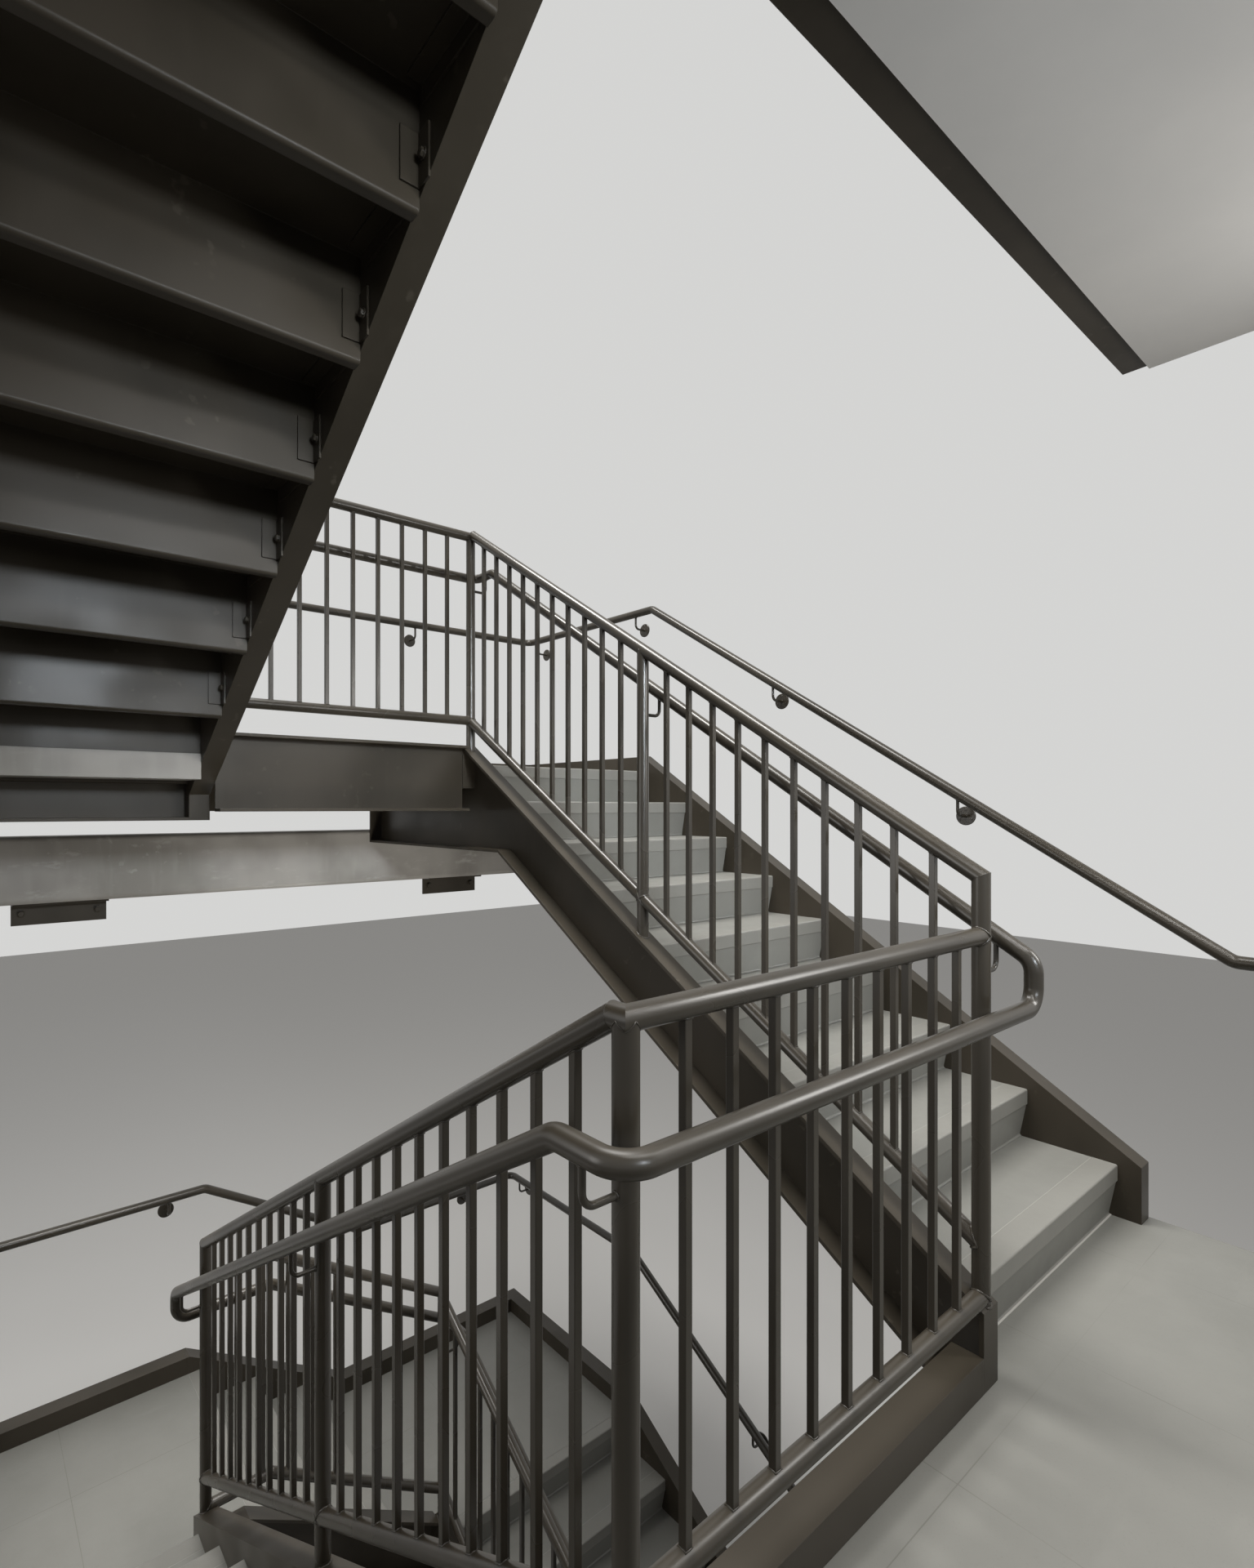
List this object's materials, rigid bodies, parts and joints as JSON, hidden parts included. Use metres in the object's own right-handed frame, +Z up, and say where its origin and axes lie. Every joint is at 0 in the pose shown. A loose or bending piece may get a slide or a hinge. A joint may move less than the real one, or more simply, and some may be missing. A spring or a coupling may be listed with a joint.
{
  "type": "fire escape stair",
  "caption": "Dark steel stair climbing back and forth round an open well, with channel stringers, covered treads, barred guards, pipe handrails and landings",
  "frame": {"origin": "centre of the underside of the foot plate below the well side stringer of the lowest flight", "axes": "+X along the back wall, toward the wall the lowest flight climbs beside; +Y from the floor landings toward the back wall; +Z up"},
  "size_m": [3.684, 4.8452, 7.7725],
  "materials": {
    "stair_paint": "satin dark bronze paint",
    "beam_paint": "dull grey brown primer",
    "soffit_paint": "matt off-white paint",
    "floor_covering": "matt grey rubber sheet"
  },
  "bodies": {
    "root": {"foot_plates": "stair_paint", "flight_1_well_stringer": "stair_paint", "flight_1_wall_stringer": "stair_paint", "flight_1_tread_pans": "stair_paint", "flight_1_tread_covers": "floor_covering", "flight_1_guard": "stair_paint", "flight_1_handrail": "stair_paint", "flight_2_well_stringer": "stair_paint", "flight_2_wall_stringer": "stair_paint", "flight_2_tread_pans": "stair_paint", "flight_2_tread_covers": "floor_covering", "flight_2_guard": "stair_paint", "flight_2_handrail": "stair_paint", "lower_mid_handrail": "stair_paint", "flight_3_well_stringer": "stair_paint", "flight_3_wall_stringer": "stair_paint", "flight_3_tread_pans": "stair_paint", "flight_3_tread_covers": "floor_covering", "flight_3_guard": "stair_paint", "flight_3_handrail": "stair_paint", "flight_4_well_stringer": "stair_paint", "flight_4_wall_stringer": "stair_paint", "flight_4_tread_pans": "stair_paint", "flight_4_tread_covers": "floor_covering", "flight_4_guard": "stair_paint", "flight_4_handrail": "stair_paint", "lower_wall_handrail": "stair_paint", "upper_wall_handrail": "stair_paint", "tread_angles": "stair_paint", "short_flight_stringer": "stair_paint", "short_flight_wall_plate": "stair_paint", "short_flight_tread_pans": "stair_paint", "short_flight_tread_covers": "floor_covering", "lower_mid_guard": "stair_paint", "floor_landing_guard": "stair_paint", "upper_mid_guard": "stair_paint", "top_landing_guard": "stair_paint", "top_landing_handrail": "stair_paint", "lower_mid_decks": "beam_paint", "floor_landing_deck": "beam_paint", "upper_mid_deck": "beam_paint", "top_landing_deck": "beam_paint", "landing_coverings": "floor_covering", "landing_soffits": "soffit_paint", "landing_skirting": "stair_paint", "landing_edge_beams": "stair_paint", "floor_landing_frames": "stair_paint", "mid_landing_bearers": "stair_paint", "back_beams": "beam_paint", "wall_brackets": "beam_paint"}
  },
  "joints": []
}
